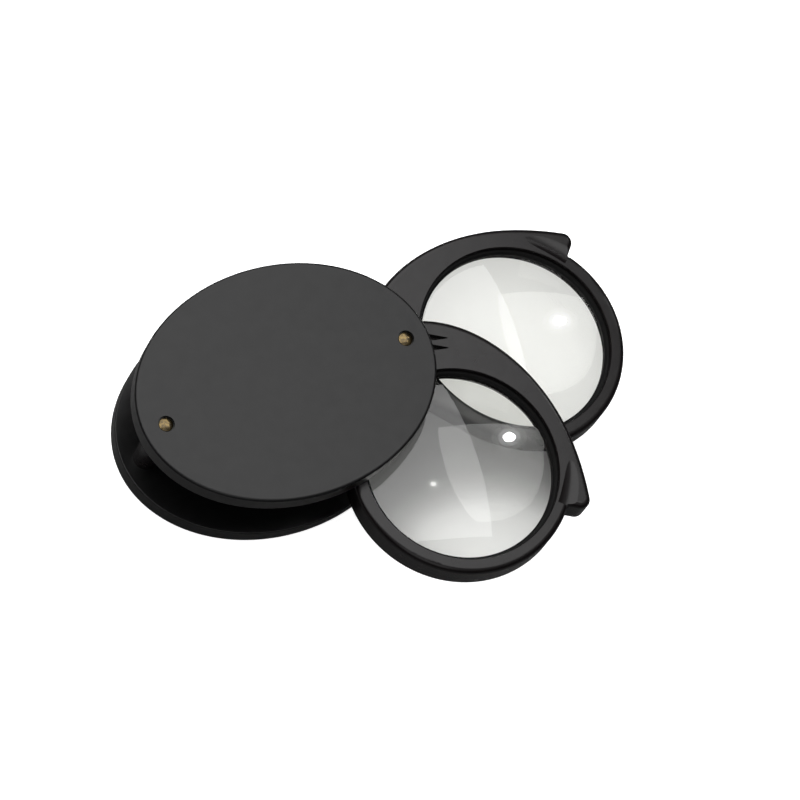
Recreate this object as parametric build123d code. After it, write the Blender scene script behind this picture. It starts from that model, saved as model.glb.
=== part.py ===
"""Folding pocket magnifier: two lenses that swing out of an oval case about one riveted pivot.

The case stands on its flat lower face at z = 0, centred on the origin, with the pivot towards +X.
Each lens frame is modelled folded, with its pivot at the origin and its ring centre on -X, and is
then turned about the pivot to the angle that it is open by. Millimetres and degrees.
"""
from build123d import *
from math import asin, cos, degrees, radians, sin, sqrt
import os

# Lenses
LENS_DIAMETER = 35.6
LENS_EDGE = 0.8               # thickness of the glass at its rim
LENS_SET_BACK = 0.1           # how far each crown stays inside its frame's faces
LENS_PLAY = 0.2               # radial, between the glass and its pocket
SEAT_OVERLAP = 0.6            # how far the seat and the retainer reach in over the glass
SEAT_GAP = 0.02               # between the glass and what holds it

# Lens frames
RING_WALL = 2.6
FRAME_THICKNESS = 6.0
FRAME_INSET = 0.15            # the folded frame's edge stands this far inside the case's edge
FRAME_EDGE_RADIUS = 1.0
BORE_EDGE_CHAMFER = 0.12
TAB_END_ANGLE = 224.3         # where the tab's end meets the ring, about the ring's centre
TAB_END_LEAN = 12.0           # the tab's end leans this much past the ring's radius
TAB_CORNER_RADIUS = 1.8
TAB_FLARE = 0.9               # the tab's outer corner stands this far out of the folded oval
TAB_FLARE_ANGLE = 262.0       # where the flare leaves the oval, as the ellipse's own parameter
NOTCH_RADIUS = 0.35           # finger-nail notch between the tab's end and the ring
VALLEY_RADIUS = 4.0           # shallow groove between the ring's rim and the tab
VALLEY_DEPTH = 0.35
VALLEY_REACH = 24.0           # the groove runs out this far from the tab's end
DRAG_GROOVE_DIRECTION = 246.5 # of both tapered grooves in the arm, about the pivot
DRAG_GROOVE_OFFSETS = (0.0, 1.9)
DRAG_GROOVE_START = 4.4       # from the pivot's axis, along the groove
DRAG_GROOVE_END = 8.9
DRAG_GROOVE_WIDTH = 1.7
DRAG_GROOVE_TIP = 0.2
DRAG_GROOVE_DEPTH = 1.2

# Retainers
RETAINER_HEIGHT = 1.3
RETAINER_BEVEL = 0.4
RETAINER_FIT = 0.01           # radial, in the lens pocket

# Case
RIM_MARGIN = 1.15             # the case is this much wider than the folded rings, each side
CASE_END = 4.5                # from the pivot's axis to the end of the case
COVER_THICKNESS = 3.8
COVER_OUTER_EDGE_RADIUS = 0.5
COVER_INNER_EDGE_RADIUS = 0.2
DISH_DEPTH = 1.0              # shallow dish inside each cover, over the glass
SWING_CLEARANCE = 1.0         # between the swinging rings and the post

# Pivot and post
SHANK_RADIUS = 1.0
SHANK_CLEARANCE = 0.05
HEAD_RADIUS = 1.3
HEAD_HEIGHT = 0.65
HEAD_LAND = 0.25              # straight side of the head, below its dome
HEAD_PROUD = 0.15             # the head stands this far out of its recess
HEAD_RECESS_CLEARANCE = 0.2
SLEEVE_RADIUS = 2.0           # pivot sleeve
RUNNING_CLEARANCE = 0.05      # radial, frames on the pivot sleeve
POST_RADIUS = 2.4
WASHER_THICKNESS = 0.25
WASHER_RADIUS = 3.5
WASHER_CLEARANCE = 0.1
SPRING_THICKNESS = 0.2
SPRING_CONE = 0.25
SPRING_GAP = 0.01
SPRING_POCKET_CLEARANCE = 0.15
COLLAR_RADIUS = 2.1
COLLAR_THICKNESS = 0.4
COLLAR_CLEARANCE = 0.1
TAIL_RADIUS = 1.5
TAIL_HEIGHT = 0.4
TAIL_RECESS = 0.1             # the peened tail stays this far above the rest face

# How far each frame is open at rest, from folded
UPPER_OPEN = 92.6
LOWER_OPEN = 169.6

# Derived sizes
LENS_RADIUS = LENS_DIAMETER / 2
POCKET_RADIUS = LENS_RADIUS + LENS_PLAY
APERTURE_RADIUS = LENS_RADIUS - SEAT_OVERLAP
RING_RADIUS = POCKET_RADIUS + RING_WALL
LENS_CROWN = (FRAME_THICKNESS - LENS_EDGE) / 2 - LENS_SET_BACK
LENS_FACE_RADIUS = (LENS_RADIUS**2 + LENS_CROWN**2) / (2 * LENS_CROWN)
PIVOT_X = RING_RADIUS + SWING_CLEARANCE + POST_RADIUS
CASE_HALF_LENGTH = PIVOT_X + CASE_END
CASE_HALF_WIDTH = RING_RADIUS + RIM_MARGIN
OVAL_HALF_LENGTH = CASE_HALF_LENGTH - FRAME_INSET
OVAL_HALF_WIDTH = CASE_HALF_WIDTH - FRAME_INSET
EYELET_RADIUS = CASE_END - FRAME_INSET
BEARING_RADIUS = SLEEVE_RADIUS + RUNNING_CLEARANCE
STACK_HEIGHT = 2 * FRAME_THICKNESS + 3 * WASHER_THICKNESS
LOWER_FRAME_Z = COVER_THICKNESS + WASHER_THICKNESS
UPPER_FRAME_Z = LOWER_FRAME_Z + FRAME_THICKNESS + WASHER_THICKNESS
TOP_COVER_Z = COVER_THICKNESS + STACK_HEIGHT
CASE_HEIGHT = TOP_COVER_Z + COVER_THICKNESS
COLLAR_Z = TAIL_RECESS + TAIL_HEIGHT
SPRING_POCKET_DEPTH = SPRING_CONE + SPRING_THICKNESS + 2 * SPRING_GAP
SPRING_POCKET_RADIUS = WASHER_RADIUS + SPRING_POCKET_CLEARANCE
FAR = 2 * CASE_HALF_LENGTH    # reaches past the whole case
RIVET_POINTS = ((PIVOT_X, 0), (-PIVOT_X, 0))


def polar(radius, angle):
    """A point at this radius and angle about the origin."""
    return Vector(radius * cos(radians(angle)), radius * sin(radians(angle)))


def tube(outer, inner, height):
    """An upright tube standing on z = 0."""
    return extrude(Circle(outer) - Circle(inner), height)


def glass_height(radius):
    """Half the thickness of the glass at this distance from its axis."""
    drop = LENS_FACE_RADIUS - sqrt(LENS_FACE_RADIUS**2 - radius**2)
    return LENS_EDGE / 2 + LENS_CROWN - drop


def turned(points):
    """The solid swept once round Z by a closed profile of (radius, z) points."""
    profile = make_face(Polyline(*[(r, 0, z) for r, z in points], close=True))
    return revolve(profile, Axis.Z)


def lens():
    """Biconvex glass, centred on the origin."""
    rim = LENS_EDGE / 2
    crown = rim + LENS_CROWN
    mid = LENS_RADIUS / 2
    upper = ThreePointArc((0, 0, crown), (mid, 0, glass_height(mid)), (LENS_RADIUS, 0, rim))
    lower = ThreePointArc((LENS_RADIUS, 0, -rim), (mid, 0, -glass_height(mid)), (0, 0, -crown))
    edge = Line((LENS_RADIUS, 0, rim), (LENS_RADIUS, 0, -rim))
    axis = Line((0, 0, -crown), (0, 0, crown))
    return revolve(make_face(Wire([upper, edge, lower, axis])), Axis.Z)


def retainer():
    """Bevelled ring that holds the glass down, from its own lower face at z = 0."""
    outer = POCKET_RADIUS - RETAINER_FIT
    inner = APERTURE_RADIUS
    top = RETAINER_HEIGHT
    return turned([(inner, 0), (outer, 0), (outer, top), (inner + RETAINER_BEVEL, top),
                   (inner, top - RETAINER_BEVEL)])


def on_oval(parameter):
    """Point of the folded frame's oval at this ellipse parameter, and the clockwise tangent there."""
    c, s = cos(radians(parameter)), sin(radians(parameter))
    tangent = Vector(OVAL_HALF_LENGTH * s, -OVAL_HALF_WIDTH * c)
    return Vector(OVAL_HALF_LENGTH * c, OVAL_HALF_WIDTH * s), tangent.normalized()


def reach_of_oval(point, direction):
    """Distance from a point inside the folded frame's oval to the oval, in this direction."""
    square = (direction.X / OVAL_HALF_LENGTH)**2 + (direction.Y / OVAL_HALF_WIDTH)**2
    half = direction.X * point.X / OVAL_HALF_LENGTH**2 + direction.Y * point.Y / OVAL_HALF_WIDTH**2
    rest = (point.X / OVAL_HALF_LENGTH)**2 + (point.Y / OVAL_HALF_WIDTH)**2 - 1
    return (sqrt(half**2 - square * rest) - half) / square


def frame_outline():
    """Folded outline about the ring's centre: ring, crescent arm, thumb tab and pivot eyelet."""
    pivot = Vector(PIVOT_X, 0)
    outline = Circle(RING_RADIUS) + Pos(*pivot) * Circle(EYELET_RADIUS)

    # The flank on the side away from the tab is tangent to the ring and to the eyelet.
    tangent = 90 - degrees(asin((RING_RADIUS - EYELET_RADIUS) / PIVOT_X))
    flank = Polyline((0, 0), polar(RING_RADIUS, tangent), pivot + polar(EYELET_RADIUS, tangent),
                     pivot, close=True)
    outline += make_face(flank)

    # The arm and tab fill the case's oval, from the tab's end round to the eyelet.
    root = polar(RING_RADIUS - RING_WALL / 2, TAB_END_ANGLE)
    past_tab = root + polar(FAR, TAB_END_ANGLE + TAB_END_LEAN)
    sector = make_face(Polyline((0, 0), root, past_tab, (0, past_tab.Y), (FAR, past_tab.Y),
                                (FAR, 0), close=True))
    oval = Ellipse(OVAL_HALF_LENGTH, OVAL_HALF_WIDTH)
    outline += oval & sector

    # The tab flares out of the oval along an arc, from a tangent start to the tab's outer corner.
    start, direction = on_oval(TAB_FLARE_ANGLE)
    along = polar(1, TAB_END_ANGLE + TAB_END_LEAN)
    corner = root + along * (reach_of_oval(root, along) + TAB_FLARE)
    edge = TangentArc(start, corner, tangent=direction)
    outline += make_face(Wire([edge, Line(corner, root), Line(root, start)]))
    nearest = outline.vertices().sort_by_distance(corner)[0]
    return fillet(nearest, TAB_CORNER_RADIUS)


def valley():
    """Groove along the ring's rim, deepest at the tab's end, that runs out up the arm."""
    run_out = VALLEY_DEPTH / (1 - cos(radians(VALLEY_REACH)))
    tilt = degrees(asin(run_out / RING_RADIUS))
    height = FRAME_THICKNESS + VALLEY_RADIUS - VALLEY_DEPTH + run_out
    # The torus dips towards the tab's end, so it turns about the line square to that direction.
    along = polar(1, TAB_END_ANGLE)
    across = Axis((0, 0, 0), (-along.Y, along.X, 0))
    groove = Torus(RING_RADIUS, VALLEY_RADIUS).rotate(across, tilt)
    keep = Rot(0, 0, TAB_END_ANGLE) * Pos(0, FAR / 2) * Box(FAR, FAR, FAR)
    return Pos(0, 0, height) * groove & keep


def drag_groove(offset):
    """Tapered groove in the top of the arm, beside the line that runs out from the pivot."""
    wide, tip = DRAG_GROOVE_WIDTH / 2, DRAG_GROOVE_TIP / 2
    outline = Polyline((DRAG_GROOVE_START, -wide), (DRAG_GROOVE_END, -tip), (DRAG_GROOVE_END, tip),
                       (DRAG_GROOVE_START, wide), close=True)
    cut = Pos(0, offset) * extrude(make_face(outline), DRAG_GROOVE_DEPTH)
    return Pos(PIVOT_X, 0, FRAME_THICKNESS - DRAG_GROOVE_DEPTH) * Rot(0, 0, DRAG_GROOVE_DIRECTION) * cut


def lens_frame():
    """The moulding, folded, about the ring's centre, from its own lower face at z = 0."""
    frame = extrude(frame_outline(), FRAME_THICKNESS)
    faces = [frame.faces().sort_by(Axis.Z)[i] for i in (0, -1)]
    frame = fillet([edge for face in faces for edge in face.outer_wire().edges()], FRAME_EDGE_RADIUS)
    notch = Pos(*polar(RING_RADIUS, TAB_END_ANGLE)) * Cylinder(NOTCH_RADIUS, 3 * FRAME_THICKNESS)

    # The lens sits on an inward lip whose lower half opens out to the pocket's size.
    seat_z = FRAME_THICKNESS / 2 - glass_height(APERTURE_RADIUS) - SEAT_GAP
    flare_top = seat_z / 2
    through = Cylinder(APERTURE_RADIUS, 3 * FRAME_THICKNESS)
    pocket = Pos(0, 0, seat_z) * extrude(Circle(POCKET_RADIUS), FRAME_THICKNESS)
    flare = turned([(0, 0), (POCKET_RADIUS, 0), (APERTURE_RADIUS, flare_top), (0, flare_top)])
    mouth = turned([(0, -BORE_EDGE_CHAMFER), (POCKET_RADIUS, -BORE_EDGE_CHAMFER),
                    (POCKET_RADIUS + BORE_EDGE_CHAMFER, 0), (0, 0)])
    bearing = Pos(PIVOT_X, 0) * Cylinder(BEARING_RADIUS, 3 * FRAME_THICKNESS)
    frame -= through + pocket + flare + Pos(0, 0, FRAME_THICKNESS) * mouth + bearing + notch
    frame -= valley()
    for offset in DRAG_GROOVE_OFFSETS:
        frame -= drag_groove(offset)
    return frame


def blank_cover():
    """Oval plate with its outer face up, standing on its inner face at z = 0."""
    plate = extrude(Ellipse(CASE_HALF_LENGTH, CASE_HALF_WIDTH), COVER_THICKNESS)
    plate = fillet(plate.faces().sort_by(Axis.Z)[-1].edges(), COVER_OUTER_EDGE_RADIUS)
    plate = fillet(plate.faces().sort_by(Axis.Z)[0].edges(), COVER_INNER_EDGE_RADIUS)
    plate -= extrude(Circle(APERTURE_RADIUS), DISH_DEPTH)
    for x, y in RIVET_POINTS:
        plate -= Pos(x, y) * Cylinder(SHANK_RADIUS + SHANK_CLEARANCE, 3 * COVER_THICKNESS)
    return plate


def top_cover():
    """Upper plate, with a recess round each rivet head and a pocket for the disc spring."""
    cover = blank_cover()
    recess_depth = HEAD_HEIGHT - HEAD_PROUD
    recess = extrude(Circle(HEAD_RADIUS + HEAD_RECESS_CLEARANCE), recess_depth)
    for x, y in RIVET_POINTS:
        cover -= Pos(x, y, COVER_THICKNESS - recess_depth) * recess
    cover -= Pos(PIVOT_X, 0) * extrude(Circle(SPRING_POCKET_RADIUS), SPRING_POCKET_DEPTH)
    return Pos(0, 0, TOP_COVER_Z) * cover


def bottom_cover():
    """Lower plate, with a recess for each peened tail and its collar."""
    cover = blank_cover()
    recess_depth = COLLAR_Z + COLLAR_THICKNESS
    recess = extrude(Circle(COLLAR_RADIUS + COLLAR_CLEARANCE), recess_depth)
    for x, y in RIVET_POINTS:
        cover -= Pos(x, y, COVER_THICKNESS - recess_depth) * recess
    return Pos(0, 0, COVER_THICKNESS) * Rot(180, 0, 0) * cover


def rivet():
    """Domed head, shank and peened tail, at its height in the case."""
    head_top = CASE_HEIGHT + HEAD_PROUD
    seat = head_top - HEAD_HEIGHT
    dome = HEAD_HEIGHT - HEAD_LAND
    dome_radius = (HEAD_RADIUS**2 + dome**2) / (2 * dome)
    mid = HEAD_RADIUS / 2
    mid_z = head_top - dome_radius + sqrt(dome_radius**2 - mid**2)
    tail_top = TAIL_RECESS + TAIL_HEIGHT
    bevel = TAIL_HEIGHT / 2
    body = Polyline((0, 0, TAIL_RECESS), (TAIL_RADIUS - bevel, 0, TAIL_RECESS),
                    (TAIL_RADIUS, 0, TAIL_RECESS + bevel), (TAIL_RADIUS, 0, tail_top),
                    (SHANK_RADIUS, 0, tail_top), (SHANK_RADIUS, 0, seat), (HEAD_RADIUS, 0, seat),
                    (HEAD_RADIUS, 0, seat + HEAD_LAND))
    crown = ThreePointArc((HEAD_RADIUS, 0, seat + HEAD_LAND), (mid, 0, mid_z), (0, 0, head_top))
    axis = Line((0, 0, head_top), (0, 0, TAIL_RECESS))
    return revolve(make_face(Wire([*body.edges(), crown, axis])), Axis.Z)


def washer():
    return tube(WASHER_RADIUS, SLEEVE_RADIUS + WASHER_CLEARANCE, WASHER_THICKNESS)


def disc_spring():
    """Coned washer, outer edge down, from its own lowest edge at z = 0."""
    inner = SLEEVE_RADIUS + WASHER_CLEARANCE
    return turned([(inner, SPRING_CONE), (WASHER_RADIUS, 0), (WASHER_RADIUS, SPRING_THICKNESS),
                   (inner, SPRING_CONE + SPRING_THICKNESS)])


def collar():
    return tube(COLLAR_RADIUS, SHANK_RADIUS + SHANK_CLEARANCE, COLLAR_THICKNESS)


def opened(shape, z, angle):
    """A folded frame's piece, lifted to its level and swung out about the pivot."""
    return Pos(PIVOT_X, 0, z) * Rot(0, 0, angle) * Pos(-PIVOT_X, 0) * shape


def build():
    """Every piece by name, in its place."""
    at_pivot = Pos(PIVOT_X, 0)
    at_post = Pos(-PIVOT_X, 0)
    sleeve_bore = SHANK_RADIUS + SHANK_CLEARANCE
    parts = {
        "top_cover": top_cover(),
        "bottom_cover": bottom_cover(),
        "pivot_rivet": at_pivot * rivet(),
        "post_rivet": at_post * rivet(),
        "pivot_sleeve": at_pivot * Pos(0, 0, COVER_THICKNESS)
        * tube(SLEEVE_RADIUS, sleeve_bore, STACK_HEIGHT + SPRING_POCKET_DEPTH),
        "post_sleeve": at_post * Pos(0, 0, COVER_THICKNESS) * tube(POST_RADIUS, sleeve_bore, STACK_HEIGHT),
        "rivet_collars": Compound([Pos(x, y, COLLAR_Z) * collar() for x, y in RIVET_POINTS]),
        "pivot_disc_spring": at_pivot * Pos(0, 0, TOP_COVER_Z + SPRING_GAP) * disc_spring(),
    }
    washer_levels = {
        "lower": COVER_THICKNESS,
        "middle": LOWER_FRAME_Z + FRAME_THICKNESS,
        "upper": UPPER_FRAME_Z + FRAME_THICKNESS,
    }
    for level, z in washer_levels.items():
        parts[f"{level}_friction_washer"] = at_pivot * Pos(0, 0, z) * washer()

    frame = lens_frame()
    retainer_z = FRAME_THICKNESS / 2 + glass_height(APERTURE_RADIUS) + SEAT_GAP
    for level, z, angle in (("lower", LOWER_FRAME_Z, LOWER_OPEN), ("upper", UPPER_FRAME_Z, UPPER_OPEN)):
        parts[f"{level}_lens_frame"] = opened(frame, z, angle)
        parts[f"{level}_lens"] = opened(lens(), z + FRAME_THICKNESS / 2, angle)
        parts[f"{level}_lens_retainer"] = opened(retainer(), z + retainer_z, angle)
    return parts


os.makedirs("parts", exist_ok=True)
for name, shape in build().items():
    export_step(shape, f"parts/{name}.step")
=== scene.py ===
"""Folding pocket magnifier, dressed for a studio picture. Metres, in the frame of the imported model."""
from math import cos, pi, radians, sin

import bpy
from mathutils import Matrix, Vector


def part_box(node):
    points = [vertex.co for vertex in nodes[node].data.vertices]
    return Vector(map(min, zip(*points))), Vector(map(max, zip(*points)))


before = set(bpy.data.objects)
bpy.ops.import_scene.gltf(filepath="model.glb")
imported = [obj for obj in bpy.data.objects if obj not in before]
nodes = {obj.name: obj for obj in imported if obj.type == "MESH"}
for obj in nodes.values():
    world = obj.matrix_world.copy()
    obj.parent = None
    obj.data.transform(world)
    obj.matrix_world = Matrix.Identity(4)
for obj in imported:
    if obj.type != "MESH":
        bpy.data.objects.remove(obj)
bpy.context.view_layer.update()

scene = bpy.context.scene
MM = 0.001


def middle(node):
    """Centre of a node's box."""
    low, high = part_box(node)
    return (low + high) / 2


# ---------------------------------------------------------------- camera

CAMERA_AZIMUTH = -58.1
CAMERA_ELEVATION = 63.8
CAMERA_ROLL = 35.4
CAMERA_DISTANCE = 1.0723
CAMERA_AIM = Vector((0.02216, -0.00758, 0.010))
FOCAL_LENGTH = 270.0          # on a sensor this wide, both in millimetres
SENSOR_WIDTH = 36.0
CLIP_START = 0.05
CLIP_END = 20.0


def direction(azimuth, elevation):
    """Unit vector towards a place in the studio; azimuth 0 is -Y and 90 is +X, in degrees."""
    a, e = radians(azimuth), radians(elevation)
    return Vector((sin(a) * cos(e), -cos(a) * cos(e), sin(e)))


def make_camera():
    """Long lens looking down at the case, rolled so that its long axis lies nearly level."""
    back = direction(CAMERA_AZIMUTH, CAMERA_ELEVATION)
    data = bpy.data.cameras.new("camera")
    data.lens = FOCAL_LENGTH
    data.sensor_width = SENSOR_WIDTH
    data.clip_start = CLIP_START
    data.clip_end = CLIP_END
    camera = bpy.data.objects.new("camera", data)
    scene.collection.objects.link(camera)
    upright = (-back).to_track_quat("-Z", "Y").to_matrix()
    camera.matrix_world = Matrix.Translation(CAMERA_AIM + back * CAMERA_DISTANCE) @ (
        upright @ Matrix.Rotation(radians(CAMERA_ROLL), 3, "Z")).to_4x4()
    scene.camera = camera


# ---------------------------------------------------------------- materials

class Shader:
    """A material under construction, from a Principled surface. Sockets are named as in Blender,
    with _ for each space."""

    def __init__(self, name):
        self.material = bpy.data.materials.new(name)
        self.material.use_nodes = True
        self.tree = self.material.node_tree
        self.tree.nodes.clear()
        self.surface = self.add("ShaderNodeBsdfPrincipled")
        self.output = self.add("ShaderNodeOutputMaterial")
        self.link(self.surface.outputs["BSDF"], self.output.inputs["Surface"])
        self.coordinates = self.add("ShaderNodeTexCoord").outputs["Object"]

    def add(self, kind, **values):
        """New node; each value is one of its own settings or else an input socket's constant."""
        node = self.tree.nodes.new(kind)
        for key, value in values.items():
            if hasattr(node, key):
                setattr(node, key, value)
            else:
                node.inputs[key.replace("_", " ")].default_value = value
        return node

    def link(self, source, target):
        self.tree.links.new(source, target)

    def base(self, **values):
        """Constants on the Principled surface."""
        for key, value in values.items():
            self.surface.inputs[key.replace("_", " ")].default_value = value

    def noise(self, size, detail=3.0, roughness=0.5, stretch=(1, 1, 1)):
        """Noise whose features measure about size metres, finer along each axis by its stretch."""
        mapping = self.add("ShaderNodeMapping", Scale=stretch)
        self.link(self.coordinates, mapping.inputs["Vector"])
        node = self.add("ShaderNodeTexNoise", Scale=1.0 / size, Detail=detail, Roughness=roughness)
        self.link(mapping.outputs["Vector"], node.inputs["Vector"])
        return node.outputs["Fac"]

    def ramp(self, value, stops):
        """Colour ramp from (position, colour or grey) stops."""
        node = self.add("ShaderNodeValToRGB")
        elements = node.color_ramp.elements
        while len(elements) < len(stops):
            elements.new(0.5)
        for element, (position, colour) in zip(elements, stops):
            element.position = position
            if isinstance(colour, (int, float)):
                colour = (colour, colour, colour)
            element.color = (*colour, 1.0)
        self.link(value, node.inputs["Fac"])
        return node.outputs["Color"]

    def mix(self, factor, first, second):
        """Colour mix; factor, first and second are sockets or constants."""
        node = self.add("ShaderNodeMix", data_type="RGBA")
        sockets = [s for s in node.inputs if s.type == "RGBA"]
        factor_socket = next(s for s in node.inputs if s.type == "VALUE")
        for socket, value in ((factor_socket, factor), (sockets[0], first), (sockets[1], second)):
            if isinstance(value, bpy.types.NodeSocket):
                self.link(value, socket)
            elif socket is factor_socket:
                socket.default_value = value
            else:
                socket.default_value = (*value, 1.0)
        return next(s for s in node.outputs if s.type == "RGBA")

    def math(self, operation, first, second):
        """Result of this operation on two sockets or constants."""
        node = self.add("ShaderNodeMath", operation=operation)
        for socket, value in zip(node.inputs, (first, second)):
            if isinstance(value, bpy.types.NodeSocket):
                self.link(value, socket)
            else:
                socket.default_value = value
        return node.outputs[0]

    def add_up(self, first, second):
        """Both of these surfaces at once."""
        node = self.add("ShaderNodeAddShader")
        self.link(first, node.inputs[0])
        self.link(second, node.inputs[1])
        return node.outputs["Shader"]

    def choose(self, factor, first, second):
        """The second of these surfaces where the factor is 1."""
        node = self.add("ShaderNodeMixShader")
        for socket, value in zip(node.inputs, (factor, first, second)):
            self.link(value, socket)
        return node.outputs["Shader"]

    def bump(self, height, distance):
        """Relief as high as this distance, where height is 1."""
        node = self.add("ShaderNodeBump", Distance=distance)
        self.link(height, node.inputs["Height"])
        self.link(node.outputs["Normal"], self.surface.inputs["Normal"])


PLASTIC_MOTTLE = 9 * MM       # sizes of the plastic's features
PLASTIC_SHEEN = 2.5 * MM
PLASTIC_DUST = 0.45 * MM
PLASTIC_GRAIN = 0.16 * MM
MOTTLE_STOPS = ((0.35, 0.0), (0.65, 1.0))    # value of the noise, and share of the lighter colour
DUST_STOPS = ((0.735, 0.0), (0.76, 1.0))     # only the noise's peaks are specks
DUST_STRENGTH = 0.25
LIGHTER = 1.12                # brightness of the mottling and of the specks, against the plastic's own
DUSTY = 2.2


def moulded_plastic(name, colour, roughness, specular, relief):
    """Black moulded plastic: fine grain, faint mottling, uneven sheen and specks of dust."""
    shader = Shader(name)
    shader.base(Specular_IOR_Level=specular)
    mottle = shader.ramp(shader.noise(PLASTIC_MOTTLE, 4.0), MOTTLE_STOPS)
    mottled = shader.mix(mottle, colour, tuple(LIGHTER * c for c in colour))
    specks = shader.ramp(shader.noise(PLASTIC_DUST, 1.0), DUST_STOPS)
    dust = shader.math("MULTIPLY", specks, DUST_STRENGTH)
    shader.link(shader.mix(dust, mottled, tuple(DUSTY * c for c in colour)),
                shader.surface.inputs["Base Color"])
    low, high = roughness
    shader.link(shader.ramp(shader.noise(PLASTIC_SHEEN, 5.0, 0.65), [(0.3, low), (0.7, high)]),
                shader.surface.inputs["Roughness"])
    shader.bump(shader.noise(PLASTIC_GRAIN, 2.0, 0.6), relief)
    return shader.material


GLASS_COLOUR = (0.985, 0.99, 0.965, 1.0)
CROWN_GLASS = 1.523           # index of refraction
GLASS_WAVE = 12 * MM
GLASS_RELIEF = 0.0004 * MM


def lens_glass():
    """Crown glass, polished, with a faint green tint and hardly any waviness."""
    shader = Shader("lens_glass")
    shader.base(Base_Color=GLASS_COLOUR, Roughness=0.0, IOR=CROWN_GLASS, Transmission_Weight=1.0)
    shader.bump(shader.noise(GLASS_WAVE, 2.0), GLASS_RELIEF)
    return shader.material


METAL_PATCH = 0.5 * MM
METAL_RELIEF = 0.004 * MM
PATCH_SHADE = 0.7             # brightness of the patches, where no tarnish is given


def metal(name, colour, roughness, grain, tarnish=None, stretch=(1, 1, 1)):
    """Metal in patches of its own colour and of its tarnish, with a fine grain of this size."""
    tarnish = tarnish or tuple(PATCH_SHADE * c for c in colour)
    shader = Shader(name)
    shader.base(Metallic=1.0)
    patches = shader.noise(METAL_PATCH, 4.0, 0.6)
    shader.link(shader.mix(shader.ramp(patches, [(0.35, 0.0), (0.7, 1.0)]), colour, tarnish),
                shader.surface.inputs["Base Color"])
    low, high = roughness
    shader.link(shader.ramp(patches, [(0.3, low), (0.7, high)]), shader.surface.inputs["Roughness"])
    shader.bump(shader.noise(grain, 3.0, 0.6, stretch), METAL_RELIEF)
    return shader.material


def paint(material, *names):
    """Puts a material in every slot of these CAD nodes."""
    for name in names:
        for slot in nodes[name].material_slots:
            slot.material = material


def make_materials():
    """Every node gets its material."""
    paint(moulded_plastic("case_plastic", (0.0030, 0.0029, 0.0031), (0.30, 0.38), 0.28, 0.003 * MM),
          "top_cover", "bottom_cover")
    paint(moulded_plastic("frame_plastic", (0.0038, 0.0028, 0.0030), (0.20, 0.28), 0.29, 0.002 * MM),
          "upper_lens_frame", "lower_lens_frame", "post_sleeve")
    paint(moulded_plastic("retainer_plastic", (0.004, 0.004, 0.004), (0.45, 0.55), 0.1, 0.002 * MM),
          "upper_lens_retainer", "lower_lens_retainer")
    paint(lens_glass(), "upper_lens", "lower_lens")
    paint(metal("rivet_brass", (0.16, 0.115, 0.05), (0.14, 0.32), 0.1 * MM,
                tarnish=(0.05, 0.042, 0.033)), "pivot_rivet", "post_rivet", "rivet_collars")
    paint(metal("sleeve_metal", (0.60, 0.60, 0.59), (0.2, 0.35), 0.06 * MM, stretch=(1, 1, 8)),
          "pivot_sleeve")
    paint(metal("spring_steel", (0.45, 0.46, 0.48), (0.25, 0.4), 0.08 * MM), "pivot_disc_spring")
    paint(metal("washer", (0.50, 0.50, 0.51), (0.3, 0.5), 0.08 * MM), "upper_friction_washer",
          "middle_friction_washer", "lower_friction_washer")


# ---------------------------------------------------------------- studio

FLOOR_SIZE = 4.0
FLOOR_DROP = 0.02 * MM        # below the case's rest face, so that the two don't coincide
TABLE_WHITE = (0.9, 0.9, 0.9, 1.0)
TO_THE_EYE = 0.8              # light of its own that the table shows the camera
# Grey that the table shows in reflections instead of its white: a painted dim reflection.
IN_REFLECTIONS = (0.2, 0.2, 0.2, 1.0)
PAINTED_GLOW_THROUGH_GLASS = 0.66          # painted glow of its own that it shows through a lens, for the light the lens would pass down
BLACKENED = 0.6               # share of its white that it loses there, a painted darkening of the table seen through glass
# Under the upper lens a painted shade darkens the table with the distance from a place on the lens's -Y
# side.
SHADE_SHIFT = Vector((-0.6, -25.0)) * MM     # of that place, from the lens
SHADE_REACH = 40 * MM
SHADE_STOPS = ((17.5, 1.0), (20.0, 0.87), (21.5, 0.79), (23.0, 0.66), (24.2, 0.50), (25.4, 0.37),
               (26.6, 0.28), (28.0, 0.20), (31.0, 0.13), (40.0, 0.04))   # millimetres, light
# Under the lower lens the table has a bright patch of painted light, full to its first edge and gone at
# its second.
PATCH_SHIFT = Vector((2.9, 1.8)) * MM        # of its middle, from the lens
PATCH_STOPS = ((18.5, 1.0), (20.0, 0.0))
PAINTED_PATCH_LIGHT = (0.88, 0.88, 0.87)

SOFT_BOX_HEIGHT = 0.22
SOFT_BOX_SIZE = (0.36, 0.50)
SOFT_BOX_TURN = 15.3          # degrees its right edge leans from the Y axis
SOFT_BOX_EDGE = 0.1286        # from the origin to that edge
SOFT_BOX_SHIFT = 0.20         # of its middle, along that edge
SOFT_BOX_RADIANCE = 2.5
FILL_AZIMUTH = -35.0
FILL_ELEVATION = 48.0
FILL_DISTANCE = 0.9
FILL_SIZE = (0.5, 0.5)
FILL_RADIANCE = 0.8
WINDOW_AZIMUTH = 110.6
WINDOW_ELEVATION = 44.5
WINDOW_TURN = 78.0
WINDOW_DISTANCE = 1.2
WINDOW_SIZE = (0.10, 0.06)
WINDOW_GAP = 0.02             # from each layer of its light to the next
WINDOW_LAYERS = ((1.0, 35.0), (1.8, 2.0), (2.8, 0.8))   # scale and brightness, from core to glow
WALLS = 0.04                  # brightness of the studio's walls and ceiling
CEILING = 0.45
WALLS_TOP = 0.5               # where each ends, as the sine of the angle above the horizon
CEILING_EDGE = 0.85


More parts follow.
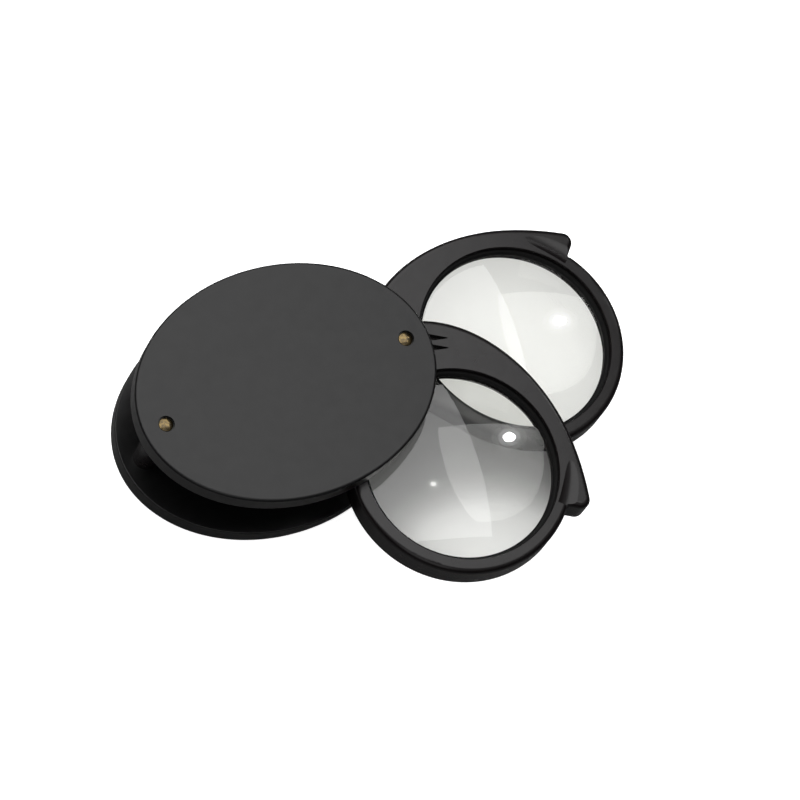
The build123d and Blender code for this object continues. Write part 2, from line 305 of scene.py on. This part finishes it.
def fade(shader, node, shift, stops):
    """Ramp over the distance on the table from a place beside a node, with stops in millimetres."""
    distance = shader.add("ShaderNodeVectorMath", operation="DISTANCE")
    shader.link(shader.coordinates, distance.inputs[0])
    distance.inputs[1].default_value = (*(middle(node).xy + shift), 0.0)
    share = shader.math("DIVIDE", distance.outputs["Value"], SHADE_REACH)
    return shader.ramp(share, [(place * MM / SHADE_REACH, light) for place, light in stops])


def floor_paint():
    """White table: burnt out to the eye, painted dim in reflections, and seen by its own painted glow
    through glass.

    The renderer loses most of the light that a lens passes down to the table, so what is seen
    The shade that the lens frames would cast there is painted, and so is a bright patch of light under
    the lower lens.
    """
    shader = Shader("floor")
    shader.base(Base_Color=TABLE_WHITE, Roughness=0.9, Specular_IOR_Level=0.0)
    rays = shader.add("ShaderNodeLightPath")
    glow = shader.add("ShaderNodeEmission")
    shader.link(shader.math("MULTIPLY", rays.outputs["Is Camera Ray"], TO_THE_EYE),
                glow.inputs["Strength"])
    white = shader.add_up(shader.surface.outputs["BSDF"], glow.outputs["Emission"])
    # Painted dim reflection: glossy rays see the table as dark grey.
    dim = shader.add("ShaderNodeBsdfDiffuse", Color=IN_REFLECTIONS)

    # Painted shade: the table darkens away from a place beside the upper lens.
    shade = fade(shader, "upper_lens", SHADE_SHIFT, SHADE_STOPS)
    # Painted light: a bright patch on the table under the lower lens.
    painted_light_patch = fade(shader, "lower_lens", PATCH_SHIFT, PATCH_STOPS)
    shade = shader.mix(painted_light_patch, shade, PAINTED_PATCH_LIGHT)
    # Seen through glass the table's colour is the painted shade, darkened by BLACKENED.
    table = shader.add("ShaderNodeBsdfDiffuse")
    shader.link(shader.mix(BLACKENED, shade, (0.0, 0.0, 0.0)), table.inputs["Color"])
    # Painted glow: through a lens the table lights itself with the painted shade and patch.
    own = shader.add("ShaderNodeEmission", Strength=PAINTED_GLOW_THROUGH_GLASS)
    shader.link(shade, own.inputs["Color"])
    through = shader.add_up(table.outputs["BSDF"], own.outputs["Emission"])

    # A ray through glass counts as a glossy one too, so what it sees is chosen last.
    surface = shader.choose(rays.outputs["Is Glossy Ray"], white, dim.outputs["BSDF"])
    surface = shader.choose(rays.outputs["Is Transmission Ray"], surface, through)
    shader.link(surface, shader.output.inputs["Surface"])
    return shader.material


def make_floor():
    """Pale table that the magnifier lies on."""
    half = FLOOR_SIZE / 2
    mesh = bpy.data.meshes.new("floor")
    mesh.from_pydata([(-half, -half, 0), (half, -half, 0), (half, half, 0), (-half, half, 0)], [],
                     [(0, 1, 2, 3)])
    floor = bpy.data.objects.new("floor", mesh)
    scene.collection.objects.link(floor)
    floor.location.z = -FLOOR_DROP
    mesh.materials.append(floor_paint())


def area_light(name, shape, size, radiance, place, turn):
    """Flat light of this brightness; turn is its rotation matrix, and it shines along its own -Z."""
    data = bpy.data.lights.new(name, "AREA")
    data.shape = shape
    data.size, data.size_y = size
    area = size[0] * size[1]
    if shape == "ELLIPSE":
        area *= pi / 4
    data.energy = radiance * pi * area
    light = bpy.data.objects.new(name, data)
    scene.collection.objects.link(light)
    light.matrix_world = Matrix.Translation(place) @ turn.to_4x4()


def make_world():
    """Dark studio walls that open to a grey ceiling."""
    world = bpy.data.worlds.new("studio")
    world.use_nodes = True
    tree = world.node_tree
    sky = tree.nodes["Background"]
    coordinates = tree.nodes.new("ShaderNodeTexCoord")
    split = tree.nodes.new("ShaderNodeSeparateXYZ")
    ramp = tree.nodes.new("ShaderNodeValToRGB")
    tree.links.new(coordinates.outputs["Generated"], split.inputs["Vector"])
    tree.links.new(split.outputs["Z"], ramp.inputs["Fac"])
    tree.links.new(ramp.outputs["Color"], sky.inputs["Color"])
    walls, ceiling = ramp.color_ramp.elements
    walls.position, walls.color = WALLS_TOP, (WALLS, WALLS, WALLS, 1)
    ceiling.position, ceiling.color = CEILING_EDGE, (CEILING, CEILING, CEILING, 1)
    scene.world = world


def aimed_light(name, shape, size, radiance, towards, distance, turn=0.0):
    """Area light in this direction from what the camera aims at, facing it and turned on its axis."""
    facing = (-towards).to_track_quat("-Z", "Y").to_matrix() @ Matrix.Rotation(radians(turn), 3, "Z")
    area_light(name, shape, size, radiance, CAMERA_AIM + towards * distance, facing)


def make_lights():
    """Low soft box over the case, whose right edge crosses the lenses, a fill, and a small far window."""
    turn = radians(SOFT_BOX_TURN)
    along, outward = Vector((sin(turn), cos(turn), 0)), Vector((cos(turn), -sin(turn), 0))
    place = outward * (SOFT_BOX_EDGE - SOFT_BOX_SIZE[0] / 2) + along * SOFT_BOX_SHIFT
    place.z = SOFT_BOX_HEIGHT
    area_light("soft_box", "RECTANGLE", SOFT_BOX_SIZE, SOFT_BOX_RADIANCE, place,
               Matrix.Rotation(-turn, 3, "Z"))
    aimed_light("fill", "RECTANGLE", FILL_SIZE, FILL_RADIANCE,
                direction(FILL_AZIMUTH, FILL_ELEVATION), FILL_DISTANCE)
    towards = direction(WINDOW_AZIMUTH, WINDOW_ELEVATION)
    for i, (scale, radiance) in enumerate(WINDOW_LAYERS):
        size = [scale * side for side in WINDOW_SIZE]
        aimed_light(f"window_{i}", "ELLIPSE", size, radiance, towards, WINDOW_DISTANCE + WINDOW_GAP * i,
                    WINDOW_TURN)


make_camera()
make_materials()
make_floor()
make_world()
make_lights()
scene.view_settings.view_transform = "Standard"
